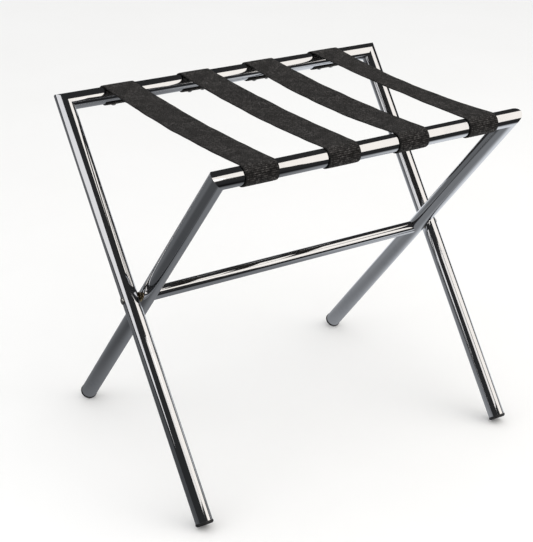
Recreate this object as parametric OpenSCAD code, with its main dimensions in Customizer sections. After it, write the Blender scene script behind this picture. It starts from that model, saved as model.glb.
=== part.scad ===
// Folding luggage rack: two bent-leg tube frames crossed on side pivots, with webbing straps over the top rails.
// Millimetres. Z is up, X runs along the rails, Y runs from the front rail to the back rail.
// The frame whose rail is at the back is the outer one; the frame whose rail is at the front is the inner one.

/* [Overall size] */
// Width over the outside of the outer frame
rack_w = 500; // [420:5:600]
// Height of the rail centre lines above the floor
rail_z = 443; // [360:1:540]
// Distance between the two rail centre lines, front to back
rail_gap = 324; // [270:1:390]
// Distance between the front feet and the back feet, centre to centre
foot_gap = 360; // [300:1:430]

/* [Frame tube] */
// Outside diameter of the frame tube
tube_d = 22; // [19:0.1:26.5]
// Wall thickness of the frame tube
tube_wall = 1.2; // [1:0.1:2]
// Space between an outer leg and the inner leg beside it
leg_gap = 2; // [1.6:0.1:4]

/* [Cross bar] */
// Outside diameter of the cross bar, less than the frame tube
bar_d = 17; // [14:0.5:18]
// Wall thickness of the cross bar
bar_wall = 1.2; // [1:0.1:1.8]

/* [Pivot] */
// Diameter of the pivot bolt shank
pivot_d = 6; // [5:0.1:7.2]
// Diameter of the pivot bolt head
head_d = 9; // [8.5:0.5:12]
// Height of the pivot bolt head
head_h = 1.8; // [1.4:0.1:3]
// Diameter of the spacer ring between the legs
spacer_d = 13; // [10:0.5:16]
// Length of the threaded plug inside each end of the cross bar
insert_l = 18; // [12:1:30]

/* [Feet] */
// How far the foot cap flange stands out past the tube
foot_rim = 0.5; // [0.3:0.1:2]
// Thickness of the foot cap flange
foot_t = 4; // [2.5:0.5:6]
// Length of the foot cap stem inside the tube
foot_stem = 24; // [14:1:36]

/* [Straps] */
// Width of the webbing
strap_w = 44; // [36:0.2:53]
// Thickness of the webbing
strap_t = 1.6; // [1.2:0.1:2.2]
// Distance from the left inner leg's centre to the middle of the first strap
strap_left_in = 52; // [42:1:75]
// Distance from the right inner leg's centre to the middle of the fourth strap
strap_right_in = 54; // [42:1:75]
// How far the second strap stands right of its even place between the first and the fourth
strap_2_shift = 5; // [-8:1:8]
// How far the third strap stands right of its even place between the first and the fourth
strap_3_shift = -1; // [-8:1:8]
// Diameter of the strap rivet heads
rivet_head_d = 7; // [6:0.5:9]
// Distance between the two rivets of one strap end
rivet_pitch = 20; // [14:1:24]

/* [Hidden] */
$fn = 96;
tube_r = tube_d / 2;
bore_r = tube_r - tube_wall;
outer_x = rack_w / 2 - tube_r;
inner_x = outer_x - tube_d - leg_gap;
// working clearances, each side
run_clear = 0.05;
strap_clear = 0.3;
// each strap is two halves that part over the pivot when the rack folds
strap_half_clear = 0.3;
// the cap flange stands square to the leg, so its lowest edge sets how high the leg's end is
foot_r = tube_r + foot_rim;
// bevels on the flange's lower and upper rims
foot_edge = 1.5;
foot_top_edge = 0.3;
function foot_height(lean) =
    max((foot_r - foot_edge) * sin(lean), foot_r * sin(lean) - foot_edge * cos(lean));
half_span = (foot_gap + rail_gap) / 2;
function settled_lean(lean, turns) =
    turns == 0 ? lean : settled_lean(atan2(half_span, rail_z - foot_height(lean)), turns - 1);
lean = settled_lean(atan2(half_span, rail_z), 8);
foot_z = foot_height(lean);
pivot_z = foot_z + (rail_z - foot_z) * (foot_gap / 2) / half_span;
leg_up = (rail_gap / 2) / sin(lean);
leg_down = (foot_gap / 2) / sin(lean);
// spare length for cutting shapes, so no two faces lie on each other
over = 1;
bar_r = bar_d / 2;
bar_bore_r = bar_r - bar_wall;
insert_x = inner_x - tube_r - 2;
insert_chamfer = 0.6;
// the bolt runs from inside the cross bar plug out to its head beyond the outer leg
bolt_start = insert_x - insert_l + 3;
head_x = outer_x + tube_r + run_clear;
head_edge = 0.5;
stem_ribs = 3;
rib_h = 0.6;
strap_in_r = tube_r + strap_clear;
strap_out_r = strap_in_r + strap_t;
// angles round a rail, measured at the rail centre with 0 pointing away from the rack and 90 straight up
wrap_end = -142;
rivet_at = -112;
rivet_shank_d = 3.2;
rivet_shank_l = 6;
rivet_head_h = 1.5;
rivet_tail_d = 4.6;
rivet_tail_l = 2;
strap_first = strap_left_in - inner_x;
strap_last = inner_x - strap_right_in;
strap_pitch = (strap_last - strap_first) / 3;
strap_xs = [
    strap_first,
    strap_first + strap_pitch + strap_2_shift,
    strap_last - strap_pitch + strap_3_shift,
    strap_last
];
chrome_colour = [0.82, 0.83, 0.85];
nickel_colour = [0.75, 0.74, 0.70];
brass_colour = [0.72, 0.58, 0.32];
plastic_colour = [0.07, 0.07, 0.08];
webbing_colour = [0.14, 0.13, 0.13];

// puts a frame drawn upright with its pivot at the origin into the rack, its top leaning to the back
module lean_back() {
    translate([0, 0, pivot_z])
        rotate([-lean, 0, 0])
            children();
}

// the same for the frame whose top leans to the front
module lean_front() {
    translate([0, 0, pivot_z])
        rotate([lean, 0, 0])
            children();
}

// a rod or bore along X, centred on the pivot line
module along_x(r, l) {
    rotate([0, 90, 0])
        cylinder(r = r, h = l, center = true);
}

// a top rail with mitred ends, for legs standing at plus and minus leg_x
module mitred_rail(leg_x) {
    deep = tube_r + over;
    intersection() {
        translate([0, 0, leg_up])
            difference() {
                along_x(tube_r, 2 * (leg_x + tube_d));
                along_x(bore_r, 2 * (leg_x + tube_d) + over);
            }
        translate([0, 0, leg_up])
            rotate([90, 0, 0])
                linear_extrude(height = 2 * deep, center = true)
                    polygon([
                        [-leg_x - deep, deep],
                        [leg_x + deep, deep],
                        [leg_x - deep, -deep],
                        [deep - leg_x, -deep]
                    ]);
    }
}

// the right-hand leg of a frame: a tube with a mitred top and a pivot hole through both walls
module mitred_leg(leg_x) {
    deep = tube_r + over;
    bottom = foot_t - leg_down;
    tall = leg_up + tube_d - bottom;
    difference() {
        intersection() {
            translate([leg_x, 0, bottom])
                difference() {
                    cylinder(r = tube_r, h = tall);
                    translate([0, 0, -over])
                        cylinder(r = bore_r, h = tall + 2 * over);
                }
            rotate([90, 0, 0])
                linear_extrude(height = 2 * deep, center = true)
                    polygon([
                        [leg_x - deep, bottom - over],
                        [leg_x + deep, bottom - over],
                        [leg_x + deep, leg_up + deep],
                        [leg_x - deep, leg_up - deep]
                    ]);
        }
        translate([leg_x, 0, 0])
            along_x(pivot_d / 2 + run_clear, tube_d + 2 * over);
    }
}

// a foot cap: a flange square to the leg and a hollow ribbed stem pushed up the tube
module foot_cap(leg_x) {
    stem_r = bore_r - run_clear;
    rib_r = bore_r - run_clear / 2;
    translate([leg_x, 0, -leg_down]) {
        difference() {
            rotate_extrude()
                polygon([
                    [0, 0],
                    [foot_r - foot_edge, 0],
                    [foot_r, foot_edge],
                    [foot_r, foot_t - foot_top_edge],
                    [foot_r - foot_top_edge, foot_t],
                    [stem_r - 0.4, foot_t],
                    [stem_r - 0.4, foot_t + foot_stem],
                    [0, foot_t + foot_stem]
                ]);
            translate([0, 0, foot_t])
                cylinder(r = stem_r - 2.4, h = foot_stem + over);
        }
        for (i = [1 : stem_ribs])
            translate([0, 0, foot_t + i * foot_stem / (stem_ribs + 1)])
                difference() {
                    cylinder(r = rib_r, h = rib_h);
                    translate([0, 0, -over])
                        cylinder(r = stem_r - 1.4, h = rib_h + 2 * over);
                }
    }
}

// a threaded plug inside the right-hand end of the cross bar
module bar_insert() {
    plug_r = bar_bore_r - run_clear;
    translate([insert_x, 0, 0])
        rotate([0, -90, 0])
            rotate_extrude()
                polygon([
                    [pivot_d / 2 + run_clear, 0],
                    [plug_r - insert_chamfer, 0],
                    [plug_r, insert_chamfer],
                    [plug_r, insert_l - insert_chamfer],
                    [plug_r - insert_chamfer, insert_l],
                    [pivot_d / 2 + run_clear, insert_l]
                ]);
}

// the right-hand pivot bolt: one shank along X with a low domed head outside the outer leg
module pivot_bolt() {
    shank_l = head_x - bolt_start;
    dome_h = head_h - head_edge;
    dome_r = (pow(head_d / 2, 2) + pow(dome_h, 2)) / (2 * dome_h);
    translate([bolt_start, 0, 0])
        rotate([0, 90, 0])
            cylinder(d = pivot_d, h = shank_l + head_edge / 2);
    translate([head_x, 0, 0])
        rotate([0, 90, 0]) {
            cylinder(d = head_d, h = head_edge);
            intersection() {
                translate([0, 0, head_h - dome_r])
                    sphere(r = dome_r);
                translate([0, 0, head_edge])
                    cylinder(d = head_d, h = head_h);
            }
        }
}

// the right-hand spacer ring between the legs
module pivot_spacer() {
    ring_l = leg_gap - 2 * run_clear;
    translate([(inner_x + outer_x) / 2, 0, 0])
        difference() {
            along_x(spacer_d / 2, ring_l);
            along_x(pivot_d / 2 + run_clear, ring_l + over);
        }
}

// straight tube between the inner legs, its ends hollowed to sit against them
module welded_bar() {
    difference() {
        along_x(bar_r, 2 * inner_x);
        along_x(bar_bore_r, 2 * inner_x + over);
        for (side = [-1, 1])
            translate([side * inner_x, 0, 0])
                cylinder(r = tube_r, h = 4 * tube_d, center = true);
    }
}

// outline of one strap end: a band from the top of a rail, round its outside and underneath
module wrap_outline() {
    reach = 2 * strap_out_r;
    difference() {
        circle(r = strap_out_r);
        circle(r = strap_in_r);
        polygon([
            [0, 0],
            [0, reach],
            [-reach, reach],
            [-reach, -reach * tan(wrap_end)]
        ]);
    }
}

// puts what is drawn round the rail centre at each strap's two rivet places
module at_rivets(x) {
    for (side = [-1, 1])
        translate([x + side * rivet_pitch / 2, 0, 0])
            rotate([rivet_at, 0, 0])
                children();
}

// the back half of a strap: a flat span level with the rail top and a wrap round the rail, with two rivet holes
module half_strap(x) {
    hole_r = rivet_shank_d / 2 + strap_clear;
    span = rail_gap / 2 - strap_half_clear;
    translate([0, rail_gap / 2, rail_z])
        difference() {
            translate([x, 0, 0])
                rotate([90, 0, 90])
                    linear_extrude(height = strap_w, center = true) {
                        translate([-span, strap_in_r])
                            square([span, strap_t]);
                        wrap_outline();
                    }
            at_rivets(x)
                rotate([-90, 0, 0])
                    cylinder(r = hole_r, h = 2 * strap_out_r);
        }
}

// all rivets of one rail: a domed head on the webbing, a shank through the wall and a spread tail inside the tube
module rail_rivets() {
    dome_r = (pow(rivet_head_d / 2, 2) + pow(rivet_head_h, 2)) / (2 * rivet_head_h);
    head_in = strap_out_r + run_clear;
    for (x = strap_xs)
        at_rivets(x)
            rotate([-90, 0, 0]) {
                intersection() {
                    translate([0, 0, head_in + rivet_head_h - dome_r])
                        sphere(r = dome_r);
                    translate([0, 0, head_in])
                        cylinder(d = rivet_head_d, h = rivet_head_h + over);
                }
                translate([0, 0, head_in + rivet_head_h / 2 - rivet_shank_l])
                    cylinder(d = rivet_shank_d, h = rivet_shank_l);
                translate([0, 0, bore_r - 0.6 - rivet_tail_l])
                    cylinder(d = rivet_tail_d, h = rivet_tail_l);
            }
}

// rivet holes through the underside of a rail drawn round the rail centre
module rail_rivet_holes() {
    for (x = strap_xs)
        at_rivets(x)
            rotate([-90, 0, 0])
                translate([0, 0, bore_r / 2])
                    cylinder(r = rivet_shank_d / 2 + run_clear, h = tube_r);
}

module outer_rail() {
    color(chrome_colour)
        difference() {
            lean_back()
                mitred_rail(outer_x);
            translate([0, rail_gap / 2, rail_z])
                rail_rivet_holes();
        }
}

module inner_rail() {
    color(chrome_colour)
        difference() {
            lean_front()
                mitred_rail(inner_x);
            mirror([0, 1, 0])
                translate([0, rail_gap / 2, rail_z])
                    rail_rivet_holes();
        }
}

module outer_leg_left() {
    color(chrome_colour)
        mirror([1, 0, 0])
            lean_back()
                mitred_leg(outer_x);
}

module outer_leg_right() {
    color(chrome_colour)
        lean_back()
            mitred_leg(outer_x);
}

module inner_leg_left() {
    color(chrome_colour)
        mirror([1, 0, 0])
            lean_front()
                mitred_leg(inner_x);
}

module inner_leg_right() {
    color(chrome_colour)
        lean_front()
            mitred_leg(inner_x);
}

module outer_foot_left() {
    color(plastic_colour)
        mirror([1, 0, 0])
            lean_back()
                foot_cap(outer_x);
}

module outer_foot_right() {
    color(plastic_colour)
        lean_back()
            foot_cap(outer_x);
}

module inner_foot_left() {
    color(plastic_colour)
        mirror([1, 0, 0])
            lean_front()
                foot_cap(inner_x);
}

module inner_foot_right() {
    color(plastic_colour)
        lean_front()
            foot_cap(inner_x);
}

module cross_bar() {
    color(chrome_colour)
        lean_front()
            welded_bar();
}

module bar_insert_left() {
    color(nickel_colour)
        mirror([1, 0, 0])
            lean_front()
                bar_insert();
}

module bar_insert_right() {
    color(nickel_colour)
        lean_front()
            bar_insert();
}

module pivot_bolt_left() {
    color(nickel_colour)
        mirror([1, 0, 0])
            lean_front()
                pivot_bolt();
}

module pivot_bolt_right() {
    color(nickel_colour)
        lean_front()
            pivot_bolt();
}

module pivot_spacer_left() {
    color(brass_colour)
        mirror([1, 0, 0])
            lean_front()
                pivot_spacer();
}

module pivot_spacer_right() {
    color(brass_colour)
        lean_front()
            pivot_spacer();
}

module strap_1_back() {
    color(webbing_colour)
        half_strap(strap_xs[0]);
}

module strap_2_back() {
    color(webbing_colour)
        half_strap(strap_xs[1]);
}

module strap_3_back() {
    color(webbing_colour)
        half_strap(strap_xs[2]);
}

module strap_4_back() {
    color(webbing_colour)
        half_strap(strap_xs[3]);
}

module strap_1_front() {
    color(webbing_colour)
        mirror([0, 1, 0])
            half_strap(strap_xs[0]);
}

module strap_2_front() {
    color(webbing_colour)
        mirror([0, 1, 0])
            half_strap(strap_xs[1]);
}

module strap_3_front() {
    color(webbing_colour)
        mirror([0, 1, 0])
            half_strap(strap_xs[2]);
}

module strap_4_front() {
    color(webbing_colour)
        mirror([0, 1, 0])
            half_strap(strap_xs[3]);
}

module back_rivets() {
    color(nickel_colour)
        translate([0, rail_gap / 2, rail_z])
            rail_rivets();
}

module front_rivets() {
    color(nickel_colour)
        mirror([0, 1, 0])
            translate([0, rail_gap / 2, rail_z])
                rail_rivets();
}

outer_rail();
outer_leg_left();
outer_leg_right();
outer_foot_left();
outer_foot_right();
inner_rail();
inner_leg_left();
inner_leg_right();
inner_foot_left();
inner_foot_right();
cross_bar();
bar_insert_left();
bar_insert_right();
pivot_bolt_left();
pivot_bolt_right();
pivot_spacer_left();
pivot_spacer_right();
strap_1_back();
strap_2_back();
strap_3_back();
strap_4_back();
strap_1_front();
strap_2_front();
strap_3_front();
strap_4_front();
back_rivets();
front_rivets();
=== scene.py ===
import math

import bmesh
import bpy
from mathutils import Matrix, Vector


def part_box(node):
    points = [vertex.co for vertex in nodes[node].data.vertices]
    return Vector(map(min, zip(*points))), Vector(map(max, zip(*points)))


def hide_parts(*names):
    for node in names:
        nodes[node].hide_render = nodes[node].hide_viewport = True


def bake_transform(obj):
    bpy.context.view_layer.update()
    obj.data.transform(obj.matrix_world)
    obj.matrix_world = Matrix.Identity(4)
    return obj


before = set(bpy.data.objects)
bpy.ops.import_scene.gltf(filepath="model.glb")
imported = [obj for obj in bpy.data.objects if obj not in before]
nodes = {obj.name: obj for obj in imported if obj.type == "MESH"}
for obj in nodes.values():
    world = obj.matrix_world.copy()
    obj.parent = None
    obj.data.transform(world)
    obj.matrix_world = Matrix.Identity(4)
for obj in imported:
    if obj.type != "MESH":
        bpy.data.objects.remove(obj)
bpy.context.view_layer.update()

print("rack frame loaded")

scene = bpy.context.scene
scene.view_settings.view_transform = "Standard"
mm = 0.001


def setInputs(tree, node, values):
    for key, value in values.items():
        if isinstance(value, bpy.types.NodeSocket):
            tree.links.new(value, node.inputs[key])
        else:
            node.inputs[key].default_value = value


def addNode(tree, kind, inputs=None, **settings):
    node = tree.nodes.new(kind)
    for key, value in settings.items():
        setattr(node, key, value)
    setInputs(tree, node, inputs or {})
    return node


def maths(tree, operation, a, b=0.0, clamp=False):
    return addNode(tree, "ShaderNodeMath", {0: a, 1: b}, operation=operation, use_clamp=clamp).outputs[0]


def remap(tree, value, fromLow, fromHigh, toLow, toHigh):
    ends = {"Value": value, "From Min": fromLow, "From Max": fromHigh, "To Min": toLow, "To Max": toHigh}
    return addNode(tree, "ShaderNodeMapRange", ends, interpolation_type="SMOOTHSTEP").outputs["Result"]


def mixColours(tree, factor, a, b, blend="MIX"):
    node = tree.nodes.new("ShaderNodeMix")
    node.data_type = "RGBA"
    node.blend_type = blend
    for key, value in (("Factor_Float", factor), ("A_Color", a), ("B_Color", b)):
        socket = next(s for s in node.inputs if s.identifier == key)
        if isinstance(value, bpy.types.NodeSocket):
            tree.links.new(value, socket)
        else:
            socket.default_value = value
    return next(s for s in node.outputs if s.identifier == "Result_Color")


def newGroup(name, inputs, outputs):
    group = bpy.data.node_groups.new(name, "ShaderNodeTree")
    for label, kind, default in inputs:
        socket = group.interface.new_socket(name=label, in_out="INPUT", socket_type="NodeSocket" + kind)
        if default is not None:
            socket.default_value = default
    for label, kind in outputs:
        group.interface.new_socket(name=label, in_out="OUTPUT", socket_type="NodeSocket" + kind)
    return group, group.nodes.new("NodeGroupInput"), group.nodes.new("NodeGroupOutput")


def placeGroup(tree, group, inputs):
    node = tree.nodes.new("ShaderNodeGroup")
    node.node_tree = group
    setInputs(tree, node, inputs)
    return node


def newMaterial(name):
    material = bpy.data.materials.new(name)
    material.use_nodes = True
    tree = material.node_tree
    tree.nodes.clear()
    shader = tree.nodes.new("ShaderNodeBsdfPrincipled")
    output = tree.nodes.new("ShaderNodeOutputMaterial")
    tree.links.new(shader.outputs["BSDF"], output.inputs["Surface"])
    return material, tree, shader


def makeSmudges():
    # handling marks and a thin film, as a mask from clean 0 to marked 1
    group, given, out = newGroup(
        "handlingMarks",
        [("Vector", "Vector", None), ("Patch Size", "Float", 14.0), ("Amount", "Float", 0.5)],
        [("Mask", "Float")],
    )
    broad = addNode(group, "ShaderNodeTexNoise", {
        "Vector": given.outputs["Vector"], "Scale": given.outputs["Patch Size"],
        "Detail": 5.0, "Roughness": 0.62, "Distortion": 0.5,
    })
    fineScale = maths(group, "MULTIPLY", given.outputs["Patch Size"], 9.0)
    fine = addNode(group, "ShaderNodeTexNoise", {
        "Vector": given.outputs["Vector"], "Scale": fineScale, "Detail": 3.0, "Roughness": 0.7,
    })
    patches = remap(group, broad.outputs["Fac"], 0.46, 0.68, 0.0, 1.0)
    specks = remap(group, fine.outputs["Fac"], 0.40, 0.66, 0.35, 1.0)
    mask = maths(group, "MULTIPLY", patches, specks)
    mask = maths(group, "MULTIPLY", mask, given.outputs["Amount"], clamp=True)
    group.links.new(mask, out.inputs["Mask"])
    return group


def makeHairlines():
    # fine polishing lines stretched along one direction, as a height
    group, given, out = newGroup(
        "polishingLines",
        [("Vector", "Vector", None), ("Stretch", "Vector", (1.0, 1.0, 1.0)), ("Fineness", "Float", 900.0)],
        [("Height", "Float"), ("Lines", "Float")],
    )
    stretched = addNode(group, "ShaderNodeVectorMath", {
        0: given.outputs["Vector"], 1: given.outputs["Stretch"],
    }, operation="MULTIPLY")
    lines = addNode(group, "ShaderNodeTexNoise", {
        "Vector": stretched.outputs["Vector"], "Scale": given.outputs["Fineness"],
        "Detail": 2.0, "Roughness": 0.55,
    })
    group.links.new(lines.outputs["Fac"], out.inputs["Height"])
    group.links.new(remap(group, lines.outputs["Fac"], 0.55, 0.8, 0.0, 1.0), out.inputs["Lines"])
    return group


def makeDust():
    # pale dust that settles on faces looking up, as a mask
    group, given, out = newGroup(
        "settledDust",
        [("Vector", "Vector", None), ("Normal", "Vector", None), ("Amount", "Float", 0.3)],
        [("Mask", "Float")],
    )
    facing = addNode(group, "ShaderNodeSeparateXYZ", {0: given.outputs["Normal"]})
    upward = remap(group, facing.outputs["Z"], 0.35, 1.0, 0.0, 1.0)
    specks = addNode(group, "ShaderNodeTexNoise", {
        "Vector": given.outputs["Vector"], "Scale": 420.0, "Detail": 2.0, "Roughness": 0.6,
    })
    grains = remap(group, specks.outputs["Fac"], 0.52, 0.7, 0.15, 1.0)
    mask = maths(group, "MULTIPLY", upward, grains)
    mask = maths(group, "MULTIPLY", mask, given.outputs["Amount"], clamp=True)
    group.links.new(mask, out.inputs["Mask"])
    return group


def makeWeave():
    # plain weave of thick cross threads over fine long threads, read from a flat pattern in metres
    group, given, out = newGroup(
        "webbingWeave",
        [("Vector", "Vector", None), ("Long Pitch", "Float", 0.0011), ("Cross Pitch", "Float", 0.0014)],
        [("Height", "Float"), ("Gap Shade", "Float"), ("Fuzz", "Float"), ("Long Share", "Float")],
    )
    wobble = addNode(group, "ShaderNodeTexNoise", {
        "Vector": given.outputs["Vector"], "Scale": 260.0, "Detail": 2.0, "Roughness": 0.5,
    })
    shift = addNode(group, "ShaderNodeVectorMath", {
        0: wobble.outputs["Color"], 1: (0.5, 0.5, 0.5),
    }, operation="SUBTRACT")
    shift = addNode(group, "ShaderNodeVectorMath", {
        0: shift.outputs["Vector"], "Scale": 0.00035,
    }, operation="SCALE")
    place = addNode(group, "ShaderNodeVectorMath", {
        0: given.outputs["Vector"], 1: shift.outputs["Vector"],
    }, operation="ADD")
    flat = addNode(group, "ShaderNodeSeparateXYZ", {0: place.outputs["Vector"]})
    across = maths(group, "DIVIDE", flat.outputs["X"], given.outputs["Long Pitch"])
    along = maths(group, "DIVIDE", flat.outputs["Y"], given.outputs["Cross Pitch"])
    # each thread is a rounded hump, and the two sets swap over and under from cell to cell
    humpAcross = maths(group, "ABSOLUTE", maths(group, "SINE", maths(group, "MULTIPLY", across, math.pi)))
    humpAlong = maths(group, "ABSOLUTE", maths(group, "SINE", maths(group, "MULTIPLY", along, math.pi)))
    cell = maths(group, "ADD", maths(group, "FLOOR", across), maths(group, "FLOOR", along))
    onTop = maths(group, "FLOORED_MODULO", cell, 2.0)
    dipAlong = maths(group, "ADD", maths(group, "MULTIPLY", humpAlong, 0.6), 0.4)
    dipAcross = maths(group, "ADD", maths(group, "MULTIPLY", humpAcross, 0.6), 0.4)
    longThread = maths(group, "MULTIPLY", humpAcross, dipAlong)
    crossThread = maths(group, "MULTIPLY", humpAlong, dipAcross)
    swap = addNode(group, "ShaderNodeMix", {0: onTop, 2: crossThread, 3: longThread})
    height = swap.outputs[0]
    fuzz = addNode(group, "ShaderNodeTexNoise", {
        "Vector": given.outputs["Vector"], "Scale": 3200.0, "Detail": 3.0, "Roughness": 0.7,
    })
    total = maths(group, "ADD", height, maths(group, "MULTIPLY", fuzz.outputs["Fac"], 0.25))
    group.links.new(total, out.inputs["Height"])
    # where the threads part: the mask for painted shade in the gaps
    group.links.new(remap(group, height, 0.12, 0.55, 1.0, 0.0), out.inputs["Gap Shade"])
    group.links.new(fuzz.outputs["Fac"], out.inputs["Fuzz"])
    group.links.new(onTop, out.inputs["Long Share"])
    return group


smudges = makeSmudges()
hairlines = makeHairlines()
dust = makeDust()
weave = makeWeave()
print("surface effects made")


chromeLook = {
    "colour": (0.87, 0.87, 0.88, 1.0),
    "filmColour": (0.74, 0.75, 0.78, 1.0),
    "cleanRoughness": 0.035,
    "markedRoughness": 0.17,
    "markAmount": 0.55,
    "rippleSize": 26.0,      # slow waves left by tube drawing and polishing
    "rippleDepth": 0.00022,
    "lineFineness": 1400.0,
    "lineStrength": 0.25,
    "lineDepth": 0.0000012,
    "lineRoughness": 0.035,
    "markSize": 17.0,        # handling marks per metre
    "dustAmount": 0.10,
    "dustColour": (0.62, 0.61, 0.58, 1.0),
    "dustRoughness": 0.5,
}


def makeChrome(name, stretch):
    look = chromeLook
    material, tree, shader = newMaterial(name)
    place = addNode(tree, "ShaderNodeTexCoord").outputs["Object"]
    facing = addNode(tree, "ShaderNodeNewGeometry").outputs["Normal"]
    marks = placeGroup(tree, smudges, {
        "Vector": place, "Patch Size": look["markSize"], "Amount": look["markAmount"],
    })
    lines = placeGroup(tree, hairlines, {
        "Vector": place, "Stretch": stretch, "Fineness": look["lineFineness"],
    })
    specks = placeGroup(tree, dust, {"Vector": place, "Normal": facing, "Amount": look["dustAmount"]})
    ripple = addNode(tree, "ShaderNodeTexNoise", {
        "Vector": place, "Scale": look["rippleSize"], "Detail": 1.0, "Roughness": 0.4,
    })
    clean, marked = look["cleanRoughness"], look["markedRoughness"]
    roughness = remap(tree, marks.outputs["Mask"], 0.0, 1.0, clean, marked)
    lineRough = maths(tree, "MULTIPLY", lines.outputs["Lines"], look["lineRoughness"])
    dustRough = maths(tree, "MULTIPLY", specks.outputs["Mask"], look["dustRoughness"])
    roughness = maths(tree, "ADD", maths(tree, "ADD", roughness, lineRough), dustRough, clamp=True)
    colour = mixColours(tree, marks.outputs["Mask"], look["colour"], look["filmColour"])
    colour = mixColours(tree, specks.outputs["Mask"], colour, look["dustColour"])
    bumpLines = addNode(tree, "ShaderNodeBump", {
        "Height": lines.outputs["Height"], "Strength": look["lineStrength"], "Distance": look["lineDepth"],
    })
    bump = addNode(tree, "ShaderNodeBump", {
        "Height": ripple.outputs["Fac"], "Strength": 1.0, "Distance": look["rippleDepth"],
        "Normal": bumpLines.outputs["Normal"],
    })
    setInputs(tree, shader, {
        "Base Color": colour, "Metallic": 1.0, "Roughness": roughness, "Normal": bump.outputs["Normal"],
    })
    return material


hardwareLooks = {
    "nickelHardware": {
        "colour": (0.78, 0.76, 0.72, 1.0), "tarnish": (0.42, 0.38, 0.33, 1.0),
        "wear": 0.6, "cleanRoughness": 0.16, "wornRoughness": 0.38,
    },
    "plugSteel": {
        "colour": (0.56, 0.56, 0.56, 1.0), "tarnish": (0.30, 0.27, 0.24, 1.0),
        "wear": 0.7, "cleanRoughness": 0.28, "wornRoughness": 0.5,
    },
    "spacerBrass": {
        "colour": (0.80, 0.64, 0.40, 1.0), "tarnish": (0.50, 0.38, 0.22, 1.0),
        "wear": 0.6, "cleanRoughness": 0.24, "wornRoughness": 0.45,
    },
}
turningStretch = (3.0, 0.4, 0.4)
turningFineness = 2600.0
turningDepth = 0.00003


def makeHardware(name):
    # plated or bare turned metal: fine turning lines, tarnish in patches
    look = hardwareLooks[name]
    material, tree, shader = newMaterial(name)
    place = addNode(tree, "ShaderNodeTexCoord").outputs["Object"]
    marks = placeGroup(tree, smudges, {"Vector": place, "Patch Size": 160.0, "Amount": look["wear"]})
    lines = placeGroup(tree, hairlines, {
        "Vector": place, "Stretch": turningStretch, "Fineness": turningFineness,
    })
    grooves = maths(tree, "MULTIPLY", lines.outputs["Lines"], 0.25)
    colour = mixColours(tree, marks.outputs["Mask"], look["colour"], look["tarnish"])
    colour = mixColours(tree, grooves, colour, look["tarnish"])
    clean, worn = look["cleanRoughness"], look["wornRoughness"]
    roughness = remap(tree, marks.outputs["Mask"], 0.0, 1.0, clean, worn)
    bump = addNode(tree, "ShaderNodeBump", {
        "Height": lines.outputs["Height"], "Strength": 0.4, "Distance": turningDepth,
    })
    setInputs(tree, shader, {
        "Base Color": colour, "Metallic": 1.0, "Roughness": roughness, "Normal": bump.outputs["Normal"],
    })
    return material


plasticLook = {
    "colour": (0.013, 0.013, 0.014, 1.0),
    "scuffColour": (0.075, 0.074, 0.072, 1.0),
    "grainSize": 1500.0,
    "grainDepth": 0.00006,
    "scuffHeight": 0.006,    # the rim scuffs up to this far above the floor
    "cleanRoughness": 0.42,
    "markedRoughness": 0.66,
    "dustColour": (0.20, 0.19, 0.18, 1.0),
}


def makeFootPlastic():
    look = plasticLook
    material, tree, shader = newMaterial("footPlastic")
    place = addNode(tree, "ShaderNodeTexCoord").outputs["Object"]
    facing = addNode(tree, "ShaderNodeNewGeometry").outputs["Normal"]
    marks = placeGroup(tree, smudges, {"Vector": place, "Patch Size": 120.0, "Amount": 0.7})
    specks = placeGroup(tree, dust, {"Vector": place, "Normal": facing, "Amount": 0.35})
    grain = addNode(tree, "ShaderNodeTexVoronoi", {"Vector": place, "Scale": look["grainSize"]})
    height = addNode(tree, "ShaderNodeSeparateXYZ", {0: place}).outputs["Z"]
    nearFloor = remap(tree, height, 0.0, look["scuffHeight"], 0.55, 0.0)
    nearFloor = maths(tree, "ADD", nearFloor, 0.25)
    scuffs = maths(tree, "MULTIPLY", nearFloor, marks.outputs["Mask"], clamp=True)
    colour = mixColours(tree, scuffs, look["colour"], look["scuffColour"])
    colour = mixColours(tree, specks.outputs["Mask"], colour, look["dustColour"])
    clean, marked = look["cleanRoughness"], look["markedRoughness"]
    roughness = remap(tree, marks.outputs["Mask"], 0.0, 1.0, clean, marked)
    bump = addNode(tree, "ShaderNodeBump", {
        "Height": grain.outputs["Distance"], "Strength": 0.5, "Distance": look["grainDepth"],
    })
    setInputs(tree, shader, {
        "Base Color": colour, "Roughness": roughness, "Normal": bump.outputs["Normal"],
        "Specular IOR Level": 0.45,
    })
    return material


alongRail = (0.03, 1.0, 1.0)
alongLeg = (1.0, 0.5, 0.06)
chromeRail = makeChrome("chromeRail", alongRail)
chromeLeg = makeChrome("chromeLeg", alongLeg)
nickel = makeHardware("nickelHardware")
plugSteel = makeHardware("plugSteel")
brass = makeHardware("spacerBrass")
footPlastic = makeFootPlastic()

materialOf = {
    "outer_rail": chromeRail, "inner_rail": chromeRail, "cross_bar": chromeRail,
    "outer_leg_left": chromeLeg, "outer_leg_right": chromeLeg,
    "inner_leg_left": chromeLeg, "inner_leg_right": chromeLeg,
    "outer_foot_left": footPlastic, "outer_foot_right": footPlastic,
    "inner_foot_left": footPlastic, "inner_foot_right": footPlastic,
    "bar_insert_left": plugSteel, "bar_insert_right": plugSteel,
    "pivot_bolt_left": nickel, "pivot_bolt_right": nickel,
    "pivot_spacer_left": brass, "pivot_spacer_right": brass,
    "back_rivets": nickel, "front_rivets": nickel,
}
for name, material in materialOf.items():
    nodes[name].data.materials.clear()
    nodes[name].data.materials.append(material)
print("metal and plastic given to the frame")


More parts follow.
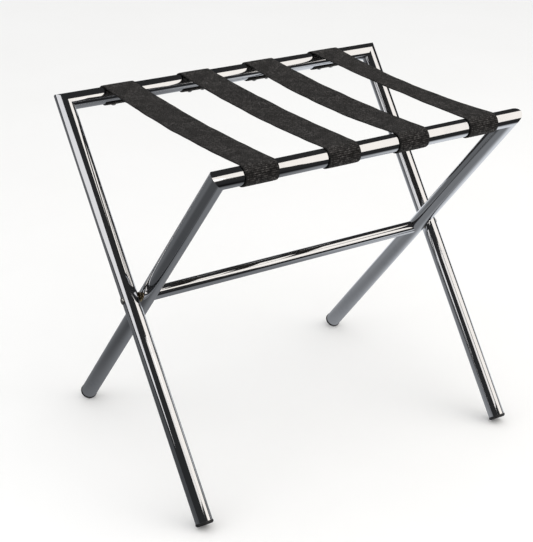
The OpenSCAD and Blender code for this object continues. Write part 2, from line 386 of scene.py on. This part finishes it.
strapLook = {
    "colour": (0.0072, 0.0062, 0.0054, 1.0),
    "wornColour": (0.034, 0.030, 0.027, 1.0),
    "crownSheenColour": (0.160, 0.148, 0.141, 1.0),   # painted sheen on the crowns of the threads
    # painted shade in the gaps between the threads
    "gapShadeColour": (0.0010, 0.0009, 0.0008, 1.0),
    "edgeColour": (0.008, 0.0078, 0.0075, 1.0),
    "specks": 260.0,       # size of the specks of painted crown sheen, per metre
    "patches": 60.0,       # size of the patches of stronger and weaker painted crown sheen, which also shape the soft creases, per metre
    "creaseDepth": 0.0011,  # soft creases over the cloth
    "longPitch": 0.0017,
    "crossPitch": 0.0024,
    "weaveDepth": 0.0007,
    "sheen": 0.07,
    "sheenTint": (0.75, 0.73, 0.72, 1.0),
    "selvedge": (0.0196, 0.0206),  # from the middle line, where the bound edge starts and is full
    "dustColour": (0.16, 0.15, 0.145, 1.0),
}


def makeWebbing():
    look = strapLook
    material, tree, shader = newMaterial("webbing")
    flat = addNode(tree, "ShaderNodeUVMap", uv_map="flatPattern").outputs["UV"]
    place = addNode(tree, "ShaderNodeTexCoord").outputs["Object"]
    threads = placeGroup(tree, weave, {
        "Vector": flat, "Long Pitch": look["longPitch"], "Cross Pitch": look["crossPitch"],
    })
    marks = placeGroup(tree, smudges, {"Vector": place, "Patch Size": 38.0, "Amount": 0.8})
    facing = addNode(tree, "ShaderNodeNewGeometry").outputs["Normal"]
    specks = placeGroup(tree, dust, {"Vector": place, "Normal": facing, "Amount": 0.30})
    handled = maths(tree, "MULTIPLY", marks.outputs["Mask"], 0.55)
    colour = mixColours(tree, handled, look["colour"], look["wornColour"])
    thread = maths(tree, "MULTIPLY", threads.outputs["Long Share"], 0.22)
    colour = mixColours(tree, thread, colour, look["wornColour"])
    fuzz = remap(tree, threads.outputs["Fuzz"], 0.5, 0.75, 0.0, 0.5)
    colour = mixColours(tree, fuzz, colour, look["wornColour"])
    # painted sheen on the crowns of the threads, broken into specks and patches
    crownSheen = remap(tree, threads.outputs["Height"], 0.50, 0.95, 0.0, 0.9)
    sheenSpecks = addNode(tree, "ShaderNodeTexNoise", {
        "Vector": flat, "Scale": look["specks"], "Detail": 3.0, "Roughness": 0.75,
    })
    # these patches set where the painted crown sheen is stronger and also shape the soft creases
    worn = addNode(tree, "ShaderNodeTexNoise", {
        "Vector": flat, "Scale": look["patches"], "Detail": 2.0, "Roughness": 0.6,
    })
    crownSheen = maths(tree, "MULTIPLY", crownSheen, remap(tree, sheenSpecks.outputs["Fac"], 0.46, 0.60, 0.03, 1.0))
    crownSheen = maths(tree, "MULTIPLY", crownSheen, remap(tree, worn.outputs["Fac"], 0.38, 0.62, 0.20, 1.0))
    colour = mixColours(tree, crownSheen, colour, look["crownSheenColour"])
    # painted shade in the gaps between the threads
    colour = mixColours(tree, threads.outputs["Gap Shade"], colour, look["gapShadeColour"])
    across = addNode(tree, "ShaderNodeSeparateXYZ", {0: flat}).outputs["X"]
    edgeStart, edgeFull = look["selvedge"]
    selvedge = remap(tree, maths(tree, "ABSOLUTE", across), edgeStart, edgeFull, 0.0, 0.75)
    colour = mixColours(tree, selvedge, colour, look["edgeColour"])
    colour = mixColours(tree, specks.outputs["Mask"], colour, look["dustColour"])
    roughness = remap(tree, threads.outputs["Fuzz"], 0.3, 0.7, 0.62, 0.85)
    bump = addNode(tree, "ShaderNodeBump", {
        "Height": threads.outputs["Height"], "Strength": 1.0, "Distance": look["weaveDepth"],
    })
    bump = addNode(tree, "ShaderNodeBump", {
        "Height": worn.outputs["Fac"], "Strength": 1.0, "Distance": look["creaseDepth"],
        "Normal": bump.outputs["Normal"],
    })
    setInputs(tree, shader, {
        "Base Color": colour, "Roughness": roughness, "Normal": bump.outputs["Normal"],
        "Sheen Weight": look["sheen"], "Sheen Roughness": 0.35, "Sheen Tint": look["sheenTint"],
        "Specular IOR Level": 0.22,
    })
    return material


webbing = makeWebbing()

strap = {
    "width": 44 * mm,
    "thickness": 1.6 * mm,
    "railY": 162 * mm,
    "railZ": 443 * mm,
    "middleRadius": 12.1 * mm,     # from the rail centre to the middle of the webbing
    "wrapEnd": -142.0,             # degrees round the rail, 90 is straight up
    "sags": (5.0, 4.5, 6.5, 4.8),  # how far each strap hangs at its middle, mm
    "tilts": (-1.2, -1.5, -4.0, 6.0),  # how far each strap leans over at its middle, degrees
    "edgeWave": 0.55 * mm,
    "ruffle": 0.45 * mm,           # gentle unevenness of the webbing where nothing holds it
    "squareness": 0.15,            # lower gives a flatter band with tighter edges
    "edgeRates": (62, 139),        # how quickly the edges wave along the strap, radians per metre
    "ruffleRates": (47, 95),
    "ruffleSlants": (160, 260),    # how quickly the ruffles change across the strap
    "phaseStep": 1.7,              # keeps the four straps unlike each other
    "bendStart": 8.6 * mm,         # from the rail centre, towards the middle and up
    "bendEnd": 15.6 * mm,
    "sectionPoints": 56,
    "rowsAlong": 130,
}


def signedPower(value, power):
    return math.copysign(abs(value) ** power, value)


def bendPoint(number, side, centreX, across, off, along, spanLength, leave):
    # places a point of the flat band on the hanging span or on the wrap round the rail
    s = strap
    sag = s["sags"][number - 1] * mm
    tilt = math.tan(math.radians(s["tilts"][number - 1]))
    edge = abs(across) / (s["width"] / 2)
    phase = number * s["phaseStep"]
    signed = side * along                          # one pattern runs through both halves
    slow, quick = s["edgeRates"]
    wave = math.sin(signed * slow + phase) * 0.6 + math.sin(signed * quick + phase * 2) * 0.4
    x = centreX + across + math.copysign(wave * s["edgeWave"] * edge ** 2, across)
    if along <= spanLength:
        share = along / spanLength                 # 0 in the middle of the strap, 1 at the rail
        slack = 1 - share * share
        slope = 2 * sag * share / spanLength
        loose = slack * slack
        slowRate, quickRate = s["ruffleRates"]
        slowSlant, quickSlant = s["ruffleSlants"]
        ripple = math.sin(signed * slowRate + across * slowSlant + phase)
        ripple += math.sin(signed * quickRate - across * quickSlant)
        height = s["middleRadius"] * math.cos(leave) - sag * slack
        height += loose * 0.5 * s["ruffle"] * ripple - across * tilt * slack
        y = along - off * math.sin(math.atan(slope))
        z = s["railZ"] + height + off * math.cos(math.atan(slope))
    else:
        angle = math.pi / 2 + leave - (along - spanLength) / s["middleRadius"]
        radius = s["middleRadius"] + off
        y = s["railY"] + radius * math.cos(angle)
        z = s["railZ"] + radius * math.sin(angle)
    return Vector((x, side * y, z))


def makeHalfStrap(name, number, side, centreX):
    s = strap
    sag = s["sags"][number - 1] * mm
    leave = math.atan(2 * sag / s["railY"])        # the span meets the rail this far past its top
    spanLength = s["railY"] - s["middleRadius"] * math.sin(leave)
    length = spanLength + (math.radians(90.0 - s["wrapEnd"]) + leave) * s["middleRadius"]
    mesh = bmesh.new()
    bmesh.ops.create_circle(mesh, segments=s["sectionPoints"], radius=1.0)
    for vertex in mesh.verts:
        vertex.co.x *= s["width"] / 2
        vertex.co.y = signedPower(vertex.co.y, s["squareness"]) * s["thickness"] / 2
    firstRing = list(mesh.edges)
    ring = firstRing
    for row in range(s["rowsAlong"]):
        grown = bmesh.ops.extrude_edge_only(mesh, edges=ring)["geom"]
        step = [item for item in grown if isinstance(item, bmesh.types.BMVert)]
        ring = [item for item in grown if isinstance(item, bmesh.types.BMEdge)]
        ring = [edge for edge in ring if all(vertex in step for vertex in edge.verts)]
        bmesh.ops.translate(mesh, verts=step, vec=(0, 0, length / s["rowsAlong"]))
    bmesh.ops.holes_fill(mesh, edges=firstRing + ring, sides=0)
    bmesh.ops.recalc_face_normals(mesh, faces=mesh.faces)
    pattern = mesh.loops.layers.uv.new("flatPattern")
    for face in mesh.faces:
        for loop in face.loops:
            loop[pattern].uv = (loop.vert.co.x, loop.vert.co.z * side)
    for vertex in mesh.verts:
        flat = vertex.co.copy()
        vertex.co = bendPoint(number, side, centreX, flat.x, flat.y, flat.z, spanLength, leave)
    bmesh.ops.recalc_face_normals(mesh, faces=mesh.faces)
    data = bpy.data.meshes.new(name)
    mesh.to_mesh(data)
    mesh.free()
    piece = bpy.data.objects.new(name, data)
    scene.collection.objects.link(piece)
    data.materials.append(webbing)
    for polygon in data.polygons:
        polygon.use_smooth = len(polygon.vertices) == 4
    return piece, length


for number in range(1, 5):
    low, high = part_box(f"strap_{number}_back")
    centreX = (low.x + high.x) / 2
    for side, end, frameBody, strapBody, rail in (
        (1, "back", "outer_frame", "strap_backs", "outer_rail"),
        (-1, "front", "inner_frame", "strap_fronts", "inner_rail"),
    ):
        piece, length = makeHalfStrap(f"webbing_{number}_{end}", number, side, centreX)
        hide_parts(f"strap_{number}_{end}")
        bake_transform(piece)
print("straps made")


floorLook = {
    "colour": (0.93, 0.93, 0.925, 1.0),
    "warmColour": (0.90, 0.90, 0.89, 1.0),
    "halfSize": 14.0,
}


def addDisc(name, radius, segments, height):
    mesh = bmesh.new()
    bmesh.ops.create_circle(mesh, cap_ends=True, segments=segments, radius=radius)
    bmesh.ops.translate(mesh, verts=mesh.verts, vec=(0, 0, height))
    data = bpy.data.meshes.new(name)
    mesh.to_mesh(data)
    mesh.free()
    disc = bpy.data.objects.new(name, data)
    scene.collection.objects.link(disc)
    return disc


def makeFloor():
    floor = addDisc("floor", floorLook["halfSize"], 96, 0.0)
    material, tree, shader = newMaterial("paleFloor")
    place = addNode(tree, "ShaderNodeTexCoord").outputs["Object"]
    mottle = addNode(tree, "ShaderNodeTexNoise", {"Vector": place, "Scale": 3.0, "Detail": 4.0})
    colour = mixColours(tree, remap(tree, mottle.outputs["Fac"], 0.3, 0.7, 0.0, 0.35),
                        floorLook["colour"], floorLook["warmColour"])
    setInputs(tree, shader, {"Base Color": colour, "Roughness": 0.7, "Specular IOR Level": 0.1})
    floor.data.materials.append(material)
    floor.visible_glossy = False


makeFloor()


roomLook = {
    "paleGlow": 0.98,
    "chromeGlow": 0.024,
    "chromeTint": (0.97, 1.0, 1.04, 1.0),
}


def makeWorld():
    # a pale room lights the floor and the cloth, and the chrome shows a dim one
    world = bpy.data.worlds.new("studio")
    scene.world = world
    world.use_nodes = True
    tree = world.node_tree
    tree.nodes.clear()
    rays = addNode(tree, "ShaderNodeLightPath")
    pale = addNode(tree, "ShaderNodeBackground", {
        "Color": (1.0, 1.0, 1.0, 1.0), "Strength": roomLook["paleGlow"],
    })
    dim = addNode(tree, "ShaderNodeBackground", {
        "Color": roomLook["chromeTint"], "Strength": roomLook["chromeGlow"],
    })
    mix = addNode(tree, "ShaderNodeMixShader", {
        0: rays.outputs["Is Glossy Ray"], 1: pale.outputs[0], 2: dim.outputs[0],
    })
    output = tree.nodes.new("ShaderNodeOutputWorld")
    tree.links.new(mix.outputs[0], output.inputs["Surface"])


makeWorld()

chromeReflectionCard = {
    "radius": 2.6,
    "drop": 0.002,
    "darkEnd": 0.07,       # glow at the far left
    "middle": 0.19,
    "brightEnd": 0.72,     # glow at the far right
    "tint": (0.95, 0.99, 1.05, 1.0),
    "leftFade": (-0.33, -0.13),    # across the rack, from the dark end to the middle glow
    "rightFade": (0.12, 0.52),
    "backFade": (0.05, 0.45),
    "backGain": 0.06,
    "frontFade": (-0.58, -0.24),
    "frontGlow": 0.03,
}


def makeChromeReflectionCard():
    # a glowing card under the pale floor that only the chrome sees: a painted reflection of a grey table,
    # painted lighter towards the big soft box
    look = chromeReflectionCard
    card = addDisc("chromeReflectionCard", look["radius"], 64, -look["drop"])
    material = bpy.data.materials.new("chromeReflectionCard")
    material.use_nodes = True
    material.cycles.emission_sampling = "NONE"
    tree = material.node_tree
    tree.nodes.clear()
    place = addNode(tree, "ShaderNodeTexCoord").outputs["Object"]
    parts = addNode(tree, "ShaderNodeSeparateXYZ", {0: place})
    across, deep = parts.outputs["X"], parts.outputs["Y"]
    low = remap(tree, across, *look["leftFade"], look["darkEnd"], look["middle"])
    high = remap(tree, across, *look["rightFade"], 0.0, look["brightEnd"] - look["middle"])
    behind = remap(tree, deep, *look["backFade"], 0.0, look["backGain"])
    low = maths(tree, "ADD", low, behind)
    frontEdge = remap(tree, deep, *look["frontFade"], look["frontGlow"], 1.0)
    glow = maths(tree, "MULTIPLY", maths(tree, "ADD", low, high), frontEdge)
    shader = addNode(tree, "ShaderNodeEmission", {"Color": look["tint"], "Strength": glow})
    output = tree.nodes.new("ShaderNodeOutputMaterial")
    tree.links.new(shader.outputs[0], output.inputs["Surface"])
    card.data.materials.append(material)
    card.visible_camera = False
    card.visible_diffuse = False
    card.visible_transmission = False
    card.visible_shadow = False


makeChromeReflectionCard()


def addPanel(name, centre, aim, width, height, colour, glow):
    # a soft box: glow is how bright its face looks in the chrome
    light = bpy.data.lights.new(name, "AREA")
    light.shape = "RECTANGLE"
    light.size = width
    light.size_y = height
    light.color = colour
    light.energy = glow * math.pi * width * height
    panel = bpy.data.objects.new(name, light)
    panel.location = centre
    panel.rotation_euler = (Vector(aim) - Vector(centre)).to_track_quat("-Z", "Y").to_euler()
    panel.visible_camera = False
    scene.collection.objects.link(panel)


softBoxes = {
    "keyPanel": {
        "centre": (1.30, -1.00, 1.33), "aim": (0.0, 0.0, 0.45), "width": 1.75, "height": 2.0,
        "colour": (1.0, 0.955, 0.90), "glow": 1.02,
    },
    "leftPanel": {
        "centre": (-0.95, 0.16, 0.60), "aim": (0.0, 0.10, 0.50), "width": 0.92, "height": 0.72,
        "colour": (0.985, 0.985, 1.0), "glow": 0.80,
    },
    "frontPanel": {
        "centre": (0.08, -1.10, 0.96), "aim": (0.0, -0.05, 0.20), "width": 0.62, "height": 0.40,
        "colour": (1.0, 0.97, 0.94), "glow": 0.90,
    },
}
for name, box in softBoxes.items():
    addPanel(name, **box)

view = {
    "azimuth": -34.57,
    "elevation": 27.60,
    "roll": 1.74,
    "away": 1.8016,
    "target": (-0.01853, 0.00907, 0.13633),
    "lens": 87.9024,
    "shift": (-0.010332, 0.100369),
}


def addCamera():
    azimuth = math.radians(view["azimuth"])
    elevation = math.radians(view["elevation"])
    roll = math.radians(view["roll"])
    forward = Vector((
        -math.sin(azimuth) * math.cos(elevation),
        math.cos(azimuth) * math.cos(elevation),
        -math.sin(elevation),
    ))
    right = Vector((math.cos(azimuth), math.sin(azimuth), 0))
    up = right.cross(forward)
    tiltedRight = right * math.cos(roll) + up * math.sin(roll)
    tiltedUp = up * math.cos(roll) - right * math.sin(roll)
    data = bpy.data.cameras.new("camera")
    data.sensor_width = 36.0
    data.lens = view["lens"]
    data.shift_x, data.shift_y = view["shift"]
    camera = bpy.data.objects.new("camera", data)
    camera.matrix_world = Matrix((
        (tiltedRight.x, tiltedUp.x, -forward.x, 0),
        (tiltedRight.y, tiltedUp.y, -forward.y, 0),
        (tiltedRight.z, tiltedUp.z, -forward.z, 0),
        (0, 0, 0, 1),
    ))
    camera.location = Vector(view["target"]) - forward * view["away"]
    scene.collection.objects.link(camera)
    scene.camera = camera


addCamera()
print("floor, light and camera set")
